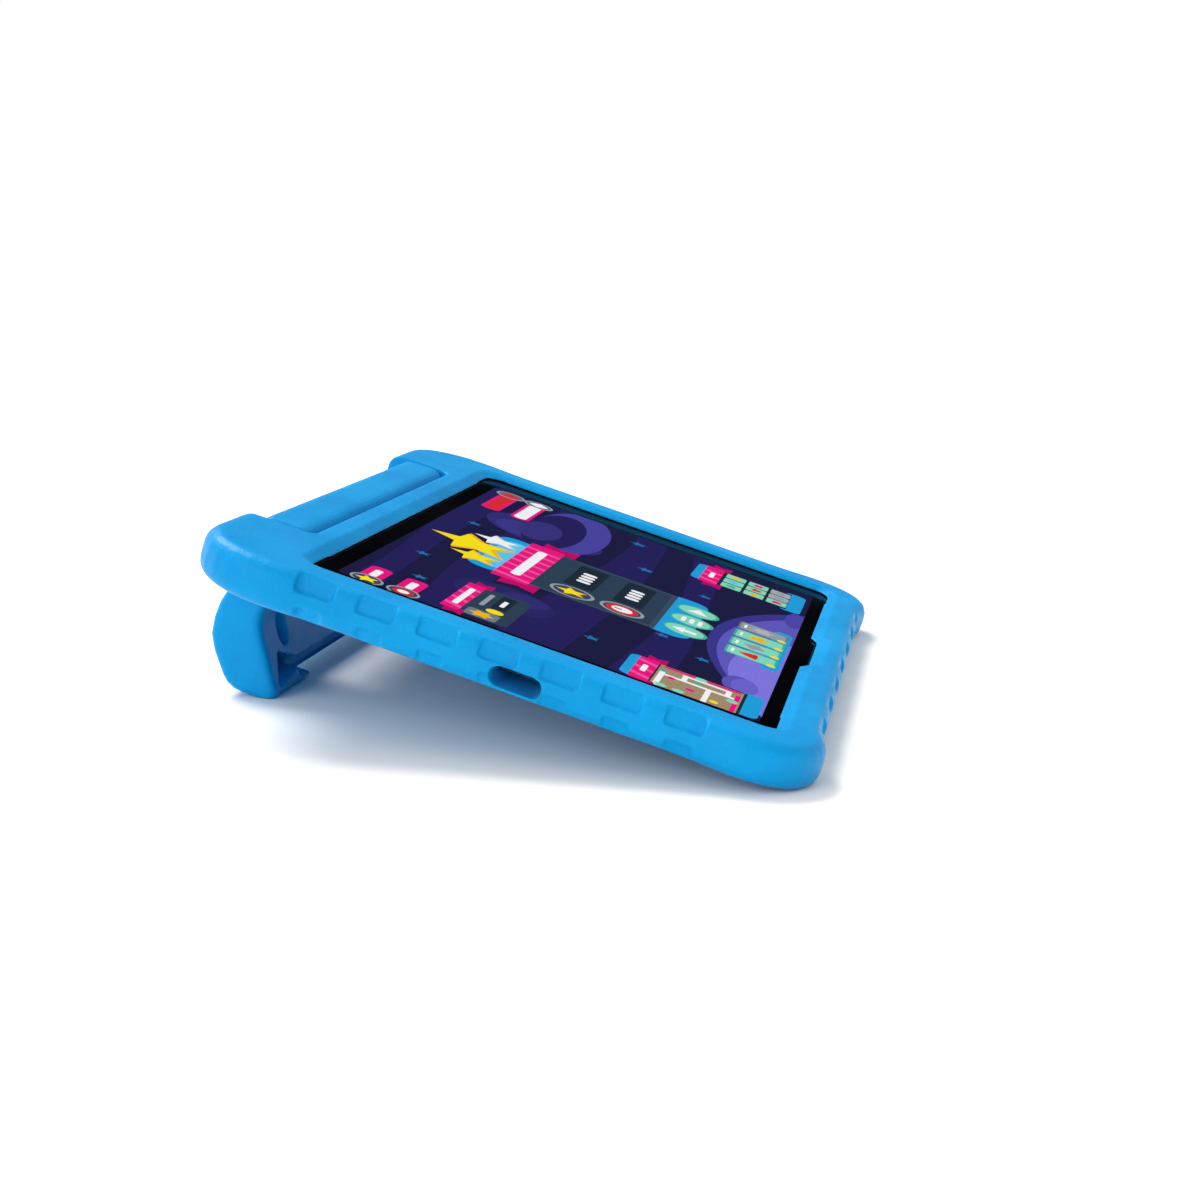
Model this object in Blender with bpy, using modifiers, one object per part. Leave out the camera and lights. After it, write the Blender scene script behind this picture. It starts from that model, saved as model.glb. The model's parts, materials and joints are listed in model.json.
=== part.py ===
"""Kids tablet in a thick foam bumper, propped up by its folding foam handle.

The tablet, its bumper and its electronics are laid out flat: x along the long side, y from the front edge
towards the handle, z up from the glass. One empty tilts all of it onto the table. The handle hangs from a
second empty that lies on the hinge axis.
"""

import math

import bmesh
import bpy
from mathutils import Euler, Matrix, Vector

MM = 0.001
GAP = 0.3 * MM

# Tablet body
GLASS_SIZE = (249.2 * MM, 152.2 * MM)
GLASS_CORNER = 8.0 * MM
GLASS_THICKNESS = 0.8 * MM
TABLET_THICKNESS = 8.2 * MM
DISPLAY_SIZE = (222.0 * MM, 138.6 * MM)
DISPLAY_THICKNESS = 1.8 * MM
FRAME_WALL = 1.5 * MM
FRAME_FLOOR = 0.7 * MM
COVER_WALL = 1.4 * MM
COVER_FLOOR = 0.7 * MM
CAVITY_TOP = -4.2 * MM
CAVITY_BOTTOM = -TABLET_THICKNESS + COVER_FLOOR + GAP
PORT_Z = -5.7 * MM

# Foam bumper
OPENING_SIZE = (243.3 * MM, 145.3 * MM)
OPENING_CORNER = 6.0 * MM
LIP_TOP = 2.8 * MM
END_SLOPE = 3.2 * MM
LONG_SLOPE = 5.0 * MM
FOAM_BACK = -11.9 * MM
SIDE_X = 138.0 * MM
LOBE_X = 140.0 * MM
FRONT_Y = -88.4 * MM
LOBE_Y = -90.4 * MM
EAR_TIP_Y = 108.4 * MM
FOAM_EDGE = 5.0 * MM
POCKET_HALF = 88.3 * MM
POCKET_Y = 83.6 * MM
NOTCH_MIDDLE = 3.4 * MM
NOTCH_WIDE = 56.0 * MM
NOTCH_NARROW = 40.4 * MM
NOTCH_DEPTH = 3.2 * MM
SIDE_DENTS = 7
SIDE_DENT_PITCH = 19.15 * MM
SIDE_DENT_MIDDLE = 8.3 * MM
SIDE_DENT_WIDTH = 12.0 * MM
FRONT_DENTS = 7
FRONT_DENT_PITCH = 30.9 * MM
FRONT_DENT_WIDTH = 16.0 * MM
DENT_DEPTH = 1.5 * MM

# Hinge and handle
HINGE_Y = 93.6 * MM
HINGE_Z = -4.6 * MM
AXLE_RADIUS = 2.5 * MM
AXLE_HALF = 107.5 * MM
TUBE_RADIUS = 4.0 * MM
BUSH_RADIUS = 5.5 * MM
BUSH_LENGTH = 20.0 * MM
WASHER_THICKNESS = 1.2 * MM
HANDLE_HALF = 86.4 * MM
HANDLE_EDGE = 3.6 * MM
FOOT_LENGTH = 40.0 * MM
HAND_HOLE = (86.0 * MM, 22.0 * MM)
HAND_HOLE_Z = -23.5 * MM
STAND_TILT = math.radians(14.35)

# Ports, keys and camera
USB_Y = 1.3 * MM
JACK_Y = -38.0 * MM
POWER_Y = 42.0 * MM
VOLUME_Y = 18.0 * MM
KEY_HEIGHT = 2.4 * MM
POWER_LENGTH = 9.0 * MM
VOLUME_LENGTH = 20.0 * MM
CAMERA_XY = (-100.0 * MM, 55.0 * MM)
SPEAKER_X = 102.0 * MM
SPEAKER_Y = -48.0 * MM

ROUND = 32
BLUE = (0.0, 0.33, 0.82)


def clear_scene():
    for old in list(bpy.data.objects):
        bpy.data.objects.remove(old, do_unlink=True)


def new_collection(name):
    made = bpy.data.collections.new(name)
    bpy.context.scene.collection.children.link(made)
    return made


def new_empty(name, parent=None, location=(0, 0, 0), tilt=0.0):
    empty = bpy.data.objects.new(name, None)
    parts.objects.link(empty)
    empty.parent = parent
    empty.location = location
    empty.rotation_euler = Euler((tilt, 0, 0))
    return empty


def material(name, colour, roughness, metallic=0.0):
    made = bpy.data.materials.new(name)
    made.use_nodes = True
    shader = made.node_tree.nodes["Principled BSDF"]
    shader.inputs["Base Color"].default_value = (*colour, 1.0)
    shader.inputs["Roughness"].default_value = roughness
    shader.inputs["Metallic"].default_value = metallic
    return made


# Outlines: a corner is (x, y, radius), and its arc is worked out here.

def rounded(corners, steps=6):
    """The outline through the corners, each one rounded by an arc of its radius."""
    points = []
    count = len(corners)
    for i, (x, y, radius) in enumerate(corners):
        here = Vector((x, y))
        back = (Vector(corners[i - 1][:2]) - here).normalized()
        ahead = (Vector(corners[(i + 1) % count][:2]) - here).normalized()
        half = back.angle(ahead) / 2
        if radius == 0 or half > math.radians(89):
            points.append((x, y))
            continue
        centre = here + (back + ahead).normalized() * (radius / math.sin(half))
        reach = radius / math.tan(half)
        first = here + back * reach - centre
        turn = (here + ahead * reach - centre).angle_signed(first)
        arc = max(2, round(steps * abs(turn) / (math.pi / 2)))
        for k in range(arc + 1):
            angle = turn * k / arc
            spoke = Vector((first.x * math.cos(angle) - first.y * math.sin(angle),
                            first.x * math.sin(angle) + first.y * math.cos(angle)))
            points.append(tuple(centre + spoke))
    return points


def rectangle(width, height, radius, centre=(0, 0), steps=6):
    x, y = width / 2, height / 2
    cx, cy = centre
    corners = [(cx - x, cy - y, radius), (cx + x, cy - y, radius),
               (cx + x, cy + y, radius), (cx - x, cy + y, radius)]
    return rounded(corners, steps)


def mirrored(right_half):
    """Both halves of an outline that is symmetric about x = 0, from its right half, bottom to top."""
    left_half = [(-x, y, radius) for x, y, radius in reversed(right_half)]
    return right_half + left_half


# Solids

def place(mesh, name, parent, holder):
    made = bpy.data.objects.new(name, mesh)
    holder.objects.link(made)
    made.parent = parent
    return made


def plate(name, outline, low, high, parent, holder=None):
    """A flat outline with a thickness, from z = low to z = high."""
    curve = bpy.data.curves.new(name, "CURVE")
    curve.dimensions = "2D"
    curve.fill_mode = "BOTH"
    curve.extrude = (high - low) / 2
    spline = curve.splines.new("POLY")
    spline.points.add(len(outline) - 1)
    for point, (x, y) in zip(spline.points, outline):
        point.co = (x, y, 0, 1)
    spline.use_cyclic_u = True
    guide = bpy.data.objects.new(name + "_outline", curve)
    parts.objects.link(guide)
    depsgraph = bpy.context.evaluated_depsgraph_get()
    mesh = bpy.data.meshes.new_from_object(guide.evaluated_get(depsgraph))
    bpy.data.objects.remove(guide, do_unlink=True)
    shape = bmesh.new()
    shape.from_mesh(mesh)
    bmesh.ops.remove_doubles(shape, verts=shape.verts, dist=1e-6)
    bmesh.ops.dissolve_limit(shape, angle_limit=math.radians(0.5), verts=shape.verts, edges=shape.edges)
    bmesh.ops.recalc_face_normals(shape, faces=shape.faces)
    bmesh.ops.translate(shape, verts=shape.verts, vec=(0, 0, (low + high) / 2))
    shape.to_mesh(mesh)
    shape.free()
    return place(mesh, name, parent, holder or parts)


def flare(name, low_outline, high_outline, low, high, parent, holder=None):
    """A loft between two outlines with the same number of points, at z = low and z = high."""
    shape = bmesh.new()
    bottom = [shape.verts.new((x, y, low)) for x, y in low_outline]
    top = [shape.verts.new((x, y, high)) for x, y in high_outline]
    for i in range(len(bottom)):
        k = (i + 1) % len(bottom)
        shape.faces.new((bottom[i], bottom[k], top[k], top[i]))
    shape.faces.new(list(reversed(bottom)))
    shape.faces.new(top)
    bmesh.ops.recalc_face_normals(shape, faces=shape.faces)
    mesh = bpy.data.meshes.new(name)
    shape.to_mesh(mesh)
    shape.free()
    return place(mesh, name, parent, holder or parts)


def turn_mesh(piece, matrix):
    piece.data.transform(matrix)
    return piece


def along_x(piece):
    """Turns a plate drawn in (y, z) and stacked along z so that it is stacked along x."""
    return turn_mesh(piece, Matrix(((0, 0, 1, 0), (1, 0, 0, 0), (0, 1, 0, 0), (0, 0, 0, 1))))


def along_y(piece):
    """Turns a plate drawn in (x, z) and stacked along z so that it is stacked along y."""
    return turn_mesh(piece, Matrix(((1, 0, 0, 0), (0, 0, -1, 0), (0, 1, 0, 0), (0, 0, 0, 1))))


def box(name, low, high, parent, holder=None, tilt=None):
    """A box between two corners, turned about its own middle by tilt."""
    low, high = Vector(low), Vector(high)
    mesh = bpy.data.meshes.new(name)
    shape = bmesh.new()
    bmesh.ops.create_cube(shape, size=1.0)
    bmesh.ops.scale(shape, verts=shape.verts, vec=high - low)
    if tilt:
        bmesh.ops.rotate(shape, verts=shape.verts, matrix=Euler(tilt).to_matrix())
    bmesh.ops.translate(shape, verts=shape.verts, vec=(low + high) / 2)
    shape.to_mesh(mesh)
    shape.free()
    return place(mesh, name, parent, holder or parts)


def drum(name, radius, low, high, parent, holder=None, at=(0, 0), axis="Z", sides=ROUND):
    """A cylinder from low to high along its axis; at is its middle in the two other directions."""
    mesh = bpy.data.meshes.new(name)
    shape = bmesh.new()
    bmesh.ops.create_cone(shape, cap_ends=True, segments=sides, radius1=radius, radius2=radius,
                          depth=high - low)
    middle = (low + high) / 2
    if axis == "Z":
        centre = (at[0], at[1], middle)
    elif axis == "X":
        bmesh.ops.rotate(shape, verts=shape.verts, matrix=Matrix.Rotation(math.pi / 2, 3, "Y"))
        centre = (middle, at[0], at[1])
    else:
        bmesh.ops.rotate(shape, verts=shape.verts, matrix=Matrix.Rotation(math.pi / 2, 3, "X"))
        centre = (at[0], middle, at[1])
    bmesh.ops.translate(shape, verts=shape.verts, vec=centre)
    shape.to_mesh(mesh)
    shape.free()
    return place(mesh, name, parent, holder or parts)


def joined(name, pieces, holder):
    """Separate cutters as one cutter."""
    shape = bmesh.new()
    for piece in pieces:
        shape.from_mesh(piece.data)
    mesh = bpy.data.meshes.new(name)
    shape.to_mesh(mesh)
    shape.free()
    made = place(mesh, name, pieces[0].parent, holder)
    for piece in pieces:
        bpy.data.objects.remove(piece, do_unlink=True)
    return made


def boolean(piece, tool, operation="DIFFERENCE"):
    tool.hide_render = True
    tool.display_type = "WIRE"
    step = piece.modifiers.new(tool.name, "BOOLEAN")
    step.operation = operation
    step.object = tool
    step.solver = "EXACT"


def cut(piece, *tools):
    for tool in tools:
        boolean(piece, tool)


def join(piece, *tools):
    for tool in tools:
        boolean(piece, tool, "UNION")


def round_edges(piece, width, segments=3, angle=40):
    step = piece.modifiers.new("edges", "BEVEL")
    step.width = width
    step.segments = segments
    step.limit_method = "ANGLE"
    step.angle_limit = math.radians(angle)
    step.use_clamp_overlap = True


def finish(piece, look, sharp=35):
    piece.data.materials.clear()
    piece.data.materials.append(look)
    piece.data.shade_smooth()
    piece.data.set_sharp_from_angle(angle=math.radians(sharp))
    return piece


# Foam bumper

def bumper_outline():
    """The outer edge: straight sides between bulging front corners and ears."""
    return rounded(mirrored([
        (104 * MM, FRONT_Y, 12 * MM),
        (114 * MM, LOBE_Y, 24 * MM),
        (LOBE_X, LOBE_Y, 22 * MM),
        (LOBE_X, -64 * MM, 40 * MM),
        (SIDE_X, -52 * MM, 40 * MM),
        (SIDE_X, 65 * MM, 40 * MM),
        (LOBE_X, 76 * MM, 40 * MM),
        (LOBE_X, EAR_TIP_Y, 27 * MM),
        (POCKET_HALF - 10 * MM, EAR_TIP_Y, 0),
    ]), steps=7)


def side_dents(name, sign, tablet):
    """Seven shallow recesses in a short side's upper edge, and seven in its lower edge."""
    pieces = []
    for i in range(SIDE_DENTS):
        y = SIDE_DENT_MIDDLE + (i - (SIDE_DENTS - 1) / 2) * SIDE_DENT_PITCH
        for upper in (True, False):
            low, high = (-2.4 * MM, 4.6 * MM) if upper else (-14 * MM, -9 * MM)
            lean = math.radians(-14 if upper else 24) * sign
            shrink = 0 if upper else 2 * MM
            piece = box(f"{name}_{i}_{upper}",
                        (-5 * MM, y - SIDE_DENT_WIDTH / 2 + shrink, low),
                        (5 * MM, y + SIDE_DENT_WIDTH / 2 - shrink, high),
                        tablet, cutters, (0, lean, 0))
            depth = DENT_DEPTH + (0.5 * MM if upper else 0.8 * MM)
            turn_mesh(piece, Matrix.Translation((sign * (SIDE_X - depth + 5 * MM), 0, 0)))
            pieces.append(piece)
    return joined(name, pieces, cutters)


def front_dents(tablet):
    pieces = []
    for i in range(FRONT_DENTS):
        x = (i - (FRONT_DENTS - 1) / 2) * FRONT_DENT_PITCH
        for upper in (True, False):
            low, high = (-2.4 * MM, 4.6 * MM) if upper else (-14 * MM, -9.4 * MM)
            lean = math.radians(-14 if upper else 24)
            shrink = 0 if upper else 3 * MM
            piece = box(f"front_dent_{i}_{upper}",
                        (x - FRONT_DENT_WIDTH / 2 + shrink, -5 * MM, low),
                        (x + FRONT_DENT_WIDTH / 2 - shrink, 5 * MM, high),
                        tablet, cutters, (lean, 0, 0))
            depth = DENT_DEPTH + (0.4 * MM if upper else 0.6 * MM)
            turn_mesh(piece, Matrix.Translation((0, FRONT_Y + depth - 5 * MM, 0)))
            pieces.append(piece)
    return joined("front_dents", pieces, cutters)


def side_slot(name, sign, y, width, height, radius, tablet, inner_z=PORT_Z, outer_z=PORT_Z):
    """A rounded slot through a short side's foam wall, a little wider on the outside."""
    inner = rectangle(width, height, radius, (y, inner_z), 4)
    outer = rectangle(width + 1.6 * MM, height + 0.8 * MM, radius + 0.3 * MM, (y, outer_z), 4)
    slot = flare(name, inner, outer, 120 * MM, 142 * MM, tablet, cutters)
    along_x(slot)
    if sign < 0:
        turn_mesh(slot, Matrix.Scale(-1, 4, (1, 0, 0)))
        slot.data.flip_normals()
    return slot


def notch_outline(slope):
    """The widening in the front lip, beside the front camera; slope moves its walls outwards."""
    front = -OPENING_SIZE[1] / 2
    wide, narrow = NOTCH_WIDE / 2 + slope / 2, NOTCH_NARROW / 2 + slope / 2
    return [(NOTCH_MIDDLE - wide, front + 1 * MM), (NOTCH_MIDDLE - narrow, front - NOTCH_DEPTH - slope),
            (NOTCH_MIDDLE + narrow, front - NOTCH_DEPTH - slope), (NOTCH_MIDDLE + wide, front + 1 * MM)]


def foam_bumper(tablet):
    foam = plate("foam_bumper", bumper_outline(), FOAM_BACK, LIP_TOP, tablet)
    round_edges(foam, FOAM_EDGE, 4)
    pocket = plate("pocket", rectangle(2 * POCKET_HALF, 60 * MM, 4 * MM, (0, POCKET_Y + 30 * MM)),
                   -20 * MM, 15 * MM, tablet, cutters)
    bed = plate("tablet_bed", rectangle(GLASS_SIZE[0] + 2 * GAP, GLASS_SIZE[1] + 2 * GAP, GLASS_CORNER),
                -TABLET_THICKNESS - GAP, GAP, tablet, cutters)
    rise = LIP_TOP + 1 * MM
    opening = flare("screen_opening",
                    rectangle(*OPENING_SIZE, OPENING_CORNER),
                    rectangle(OPENING_SIZE[0] + 2 * END_SLOPE * rise / LIP_TOP,
                              OPENING_SIZE[1] + 2 * LONG_SLOPE * rise / LIP_TOP, OPENING_CORNER + 4 * MM),
                    0, rise, tablet, cutters)
    notch = flare("camera_notch", notch_outline(0), notch_outline(LONG_SLOPE * rise / LIP_TOP), 0, rise,
                  tablet, cutters)
    ears = [drum(f"ear_bore_{side}", BUSH_RADIUS + GAP, 75 * MM, POCKET_HALF + BUSH_LENGTH + GAP,
                 tablet, cutters, (HINGE_Y, HINGE_Z), "X") for side in ("right", "left")]
    turn_mesh(ears[1], Matrix.Rotation(math.pi, 4, "Z") @ Matrix.Translation((0, -2 * HINGE_Y, 0)))
    windows = [drum("camera_window", 8 * MM, -15 * MM, -8 * MM, tablet, cutters, CAMERA_XY)]
    for side, sign in (("right", 1), ("left", -1)):
        outline = rectangle(7 * MM, 24 * MM, 3.4 * MM, (sign * SPEAKER_X, SPEAKER_Y))
        windows.append(plate(f"speaker_window_{side}", outline, -15 * MM, -8 * MM, tablet, cutters))
    cut(foam, pocket, bed, opening, notch, *ears, *windows,
        side_slot("usb_slot", -1, USB_Y, 15 * MM, 6.2 * MM, 2.8 * MM, tablet, -6.0 * MM, -7.6 * MM),
        side_slot("jack_hole", 1, JACK_Y, 8 * MM, 7 * MM, 3.3 * MM, tablet),
        side_slot("key_slot", 1, (POWER_Y + VOLUME_Y) / 2, 45 * MM, 7.4 * MM, 3.4 * MM, tablet),
        side_dents("right_dents", 1, tablet), side_dents("left_dents", -1, tablet), front_dents(tablet),
        table_cutter)
    return finish(foam, material("foam", BLUE, 0.6))


# Handle

def handle_profile():
    """The handle's side view in (y, z) about the hinge axis: root bar on top, foot at the bottom."""
    return rounded([
        (9.0 * MM, 7.5 * MM, 4.6 * MM),
        (-8.6 * MM, 7.5 * MM, 4.6 * MM),
        (-8.6 * MM, -8 * MM, 6 * MM),
        (-2.4 * MM, -15.5 * MM, 8 * MM),
        (0.4 * MM, -26 * MM, 12 * MM),
        (-12.4 * MM, -47.6 * MM, 2.6 * MM),
        (-11.2 * MM, -51.2 * MM, 2.6 * MM),
        (4.2 * MM, -51.2 * MM, 9 * MM),
        (15.4 * MM, -36.2 * MM, 16 * MM),
        (14.4 * MM, -24.5 * MM, 9 * MM),
        (9.0 * MM, -8 * MM, 12 * MM),
    ], steps=5)


def handle(hinge):
    body = along_x(plate("foam_handle", handle_profile(), -HANDLE_HALF, HANDLE_HALF, hinge))
    round_edges(body, HANDLE_EDGE, 4, 60)
    hole = along_y(plate("hand_hole", rectangle(*HAND_HOLE, 9 * MM, (0, HAND_HOLE_Z)),
                         -40 * MM, 40 * MM, hinge, cutters))
    grip = HANDLE_HALF - FOOT_LENGTH
    relief = along_y(plate("grip_relief", [(-grip - 20 * MM, -56 * MM), (grip + 20 * MM, -56 * MM),
                                           (grip + 2 * MM, -47.6 * MM), (-grip - 2 * MM, -47.6 * MM)],
                           -40 * MM, 40 * MM, hinge, cutters))
    # The recesses below open on the inner side only; a plate stacked along y reaches towards -y.
    channel_outline = rounded([(-60 * MM, -47.4 * MM, 3 * MM), (60 * MM, -47.4 * MM, 3 * MM),
                               (60 * MM, -41.2 * MM, 2.6 * MM), (-60 * MM, -41.2 * MM, 2.6 * MM)], 4)
    channel = along_y(plate("grip_channel", channel_outline, 5 * MM, 20 * MM, hinge, cutters))
    recesses = []
    for side in (1, -1):
        corners = [(side * 51.5 * MM, -43 * MM, 1 * MM), (side * 81.6 * MM, -46.8 * MM, 1 * MM),
                   (side * 75.5 * MM, -37 * MM, 1.5 * MM)]
        outline = rounded(corners if side > 0 else corners[::-1], 4)
        recesses.append(along_y(plate(f"foot_pocket_{side}", outline, -4 * MM, 20 * MM, hinge, cutters)))
        outline = rectangle(9.6 * MM, 27 * MM, 4.6 * MM, (side * 66.5 * MM, -23.1 * MM))
        recesses.append(along_y(plate(f"finger_groove_{side}", outline, -2 * MM, 20 * MM, hinge, cutters)))
    bore = drum("tube_bore", TUBE_RADIUS + GAP, -95 * MM, 95 * MM, hinge, cutters, (0, 0), "X")
    cut(body, bore, hole, relief, channel, *recesses, table_cutter)
    return finish(body, material("handle_foam", BLUE, 0.6))


def hinge_hardware(tablet, hinge):
    steel = material("axle_steel", (0.62, 0.63, 0.65), 0.3, 1.0)
    plastic = material("hinge_plastic", (0.05, 0.05, 0.055), 0.45)
    finish(drum("hinge_axle", AXLE_RADIUS, -AXLE_HALF, AXLE_HALF, tablet, at=(HINGE_Y, HINGE_Z), axis="X"),
           steel)
    axle_hole = drum("axle_hole", AXLE_RADIUS + GAP, -120 * MM, 120 * MM, hinge, cutters, (0, 0), "X")
    tube = drum("handle_tube", TUBE_RADIUS, -HANDLE_HALF + 0.5 * MM, HANDLE_HALF - 0.5 * MM, hinge, axis="X")
    cut(tube, axle_hole)
    finish(tube, plastic)
    for side, sign in (("right", 1), ("left", -1)):
        ends = sorted((sign * (POCKET_HALF + 0.2 * MM), sign * (POCKET_HALF + BUSH_LENGTH)))
        bush = drum(f"ear_bush_{side}", BUSH_RADIUS, *ends, tablet, at=(HINGE_Y, HINGE_Z), axis="X")
        cut(bush, axle_hole)
        finish(bush, plastic)
        middle = (HANDLE_HALF + POCKET_HALF) / 2
        ends = sorted((sign * (middle - WASHER_THICKNESS / 2), sign * (middle + WASHER_THICKNESS / 2)))
        washer = drum(f"friction_washer_{side}", BUSH_RADIUS, *ends, hinge, axis="X")
        cut(washer, axle_hole)
        finish(washer, material(f"washer_{side}", (0.75, 0.75, 0.72), 0.5))


# Tablet shells

def tablet_shells(tablet):
    glass = plate("cover_glass", rectangle(*GLASS_SIZE, GLASS_CORNER), -GLASS_THICKNESS, 0, tablet)
    round_edges(glass, 0.2 * MM, 1)
    finish(glass, material("glass", (0.01, 0.01, 0.012), 0.05))

    display_top = -GLASS_THICKNESS - GAP
    display_bottom = display_top - DISPLAY_THICKNESS
    display = plate("display_panel", rectangle(*DISPLAY_SIZE, 2 * MM), display_bottom, display_top, tablet)
    finish(display, material("display", (0.06, 0.05, 0.2), 0.3))

    frame_bottom = display_bottom - GAP - FRAME_FLOOR
    frame = plate("mid_frame", rectangle(*GLASS_SIZE, GLASS_CORNER), frame_bottom, display_top, tablet)
    inside = rectangle(GLASS_SIZE[0] - 2 * FRAME_WALL, GLASS_SIZE[1] - 2 * FRAME_WALL,
                       GLASS_CORNER - FRAME_WALL)
    tray = plate("frame_tray", inside, frame_bottom + FRAME_FLOOR, 5 * MM, tablet, cutters)
    eye = box("front_camera_cut", (-2.6 * MM, -73 * MM, -10 * MM), (2.6 * MM, -69.6 * MM, 0), tablet, cutters)
    ribbon = box("ribbon_cut", (-16 * MM, 69.8 * MM, -10 * MM), (16 * MM, 72.4 * MM, 0), tablet, cutters)
    holes = [drum(f"screw_hole_{i}", 1.0 * MM, -10 * MM, 0, tablet, cutters, at, sides=12)
             for i, at in enumerate(SCREW_PLACES)]
    cut(frame, tray, eye, ribbon, joined("screw_holes", holes, cutters))
    finish(frame, material("frame_alloy", (0.45, 0.46, 0.48), 0.4, 0.8))

    cover = plate("rear_cover", rectangle(*GLASS_SIZE, GLASS_CORNER), -TABLET_THICKNESS, frame_bottom - GAP,
                  tablet)
    hollow = plate("cover_hollow", rectangle(GLASS_SIZE[0] - 2 * COVER_WALL, GLASS_SIZE[1] - 2 * COVER_WALL,
                                             GLASS_CORNER - COVER_WALL),
                   -TABLET_THICKNESS + COVER_FLOOR, 5 * MM, tablet, cutters)
    posts = []
    for i, at in enumerate(SCREW_PLACES):
        post = drum(f"post_{i}", 2.2 * MM, -TABLET_THICKNESS + 0.2 * MM, CAVITY_TOP - 0.4 * MM, tablet,
                    cutters, at, sides=16)
        posts.append(post)
    pilots = [drum(f"pilot_{i}", 1.0 * MM, -TABLET_THICKNESS + 1.0 * MM, 0, tablet, cutters, at, sides=12)
              for i, at in enumerate(SCREW_PLACES)]
    wall_cuts = [
        box("usb_mouth", (-130 * MM, USB_Y - 4.9 * MM, PORT_Z - 1.9 * MM),
            (-120 * MM, USB_Y + 4.9 * MM, 0), tablet, cutters),
        drum("jack_mouth", 1.9 * MM, 120 * MM, 130 * MM, tablet, cutters, (JACK_Y, PORT_Z - 0.1 * MM), "X", 16),
        box("power_mouth", (120 * MM, POWER_Y - POWER_LENGTH / 2 - GAP, PORT_Z - KEY_HEIGHT / 2 - GAP),
            (130 * MM, POWER_Y + POWER_LENGTH / 2 + GAP, PORT_Z + KEY_HEIGHT / 2 + GAP), tablet, cutters),
        box("volume_mouth", (120 * MM, VOLUME_Y - VOLUME_LENGTH / 2 - GAP, PORT_Z - KEY_HEIGHT / 2 - GAP),
            (130 * MM, VOLUME_Y + VOLUME_LENGTH / 2 + GAP, PORT_Z + KEY_HEIGHT / 2 + GAP), tablet, cutters),
    ]
    lens_hole = drum("lens_hole", 4.8 * MM, -10 * MM, -6 * MM, tablet, cutters, CAMERA_XY)
    grille = []
    for sign in (1, -1):
        for k in range(5):
            y = SPEAKER_Y + (k - 2) * 4 * MM
            grille.append(box(f"grille_{sign}_{k}", (sign * SPEAKER_X - 2 * MM, y - 0.8 * MM, -10 * MM),
                              (sign * SPEAKER_X + 2 * MM, y + 0.8 * MM, -6 * MM), tablet, cutters))
    round_edges(cover, 1.2 * MM, 2)
    cut(cover, hollow)
    join(cover, *posts)
    cut(cover, joined("pilots", pilots, cutters), joined("grille", grille, cutters), lens_hole, *wall_cuts)
    finish(cover, material("cover_alloy", (0.72, 0.73, 0.75), 0.35, 0.9))

    thread = -TABLET_THICKNESS + 1.4 * MM
    floor_top = frame_bottom + FRAME_FLOOR
    for i, at in enumerate(SCREW_PLACES):
        screw = drum(f"frame_screw_{i + 1}", 0.7 * MM, thread, floor_top + 0.6 * MM, tablet, at=at, sides=10)
        head = drum(f"screw_head_{i + 1}", 1.6 * MM, floor_top + GAP, floor_top + 1.0 * MM, tablet, cutters,
                    at, sides=16)
        join(screw, head)
        finish(screw, material(f"screw_{i + 1}", (0.2, 0.2, 0.21), 0.35, 1.0))


# Electronics

def block(name, centre, size, low, high, parent, look, corner=0.6 * MM):
    """A small flat component: a rounded rectangle between two heights."""
    outline = rectangle(*size, min(corner, min(size) / 2.2), centre, 2)
    return finish(plate(name, outline, low, high, parent), look)


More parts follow.
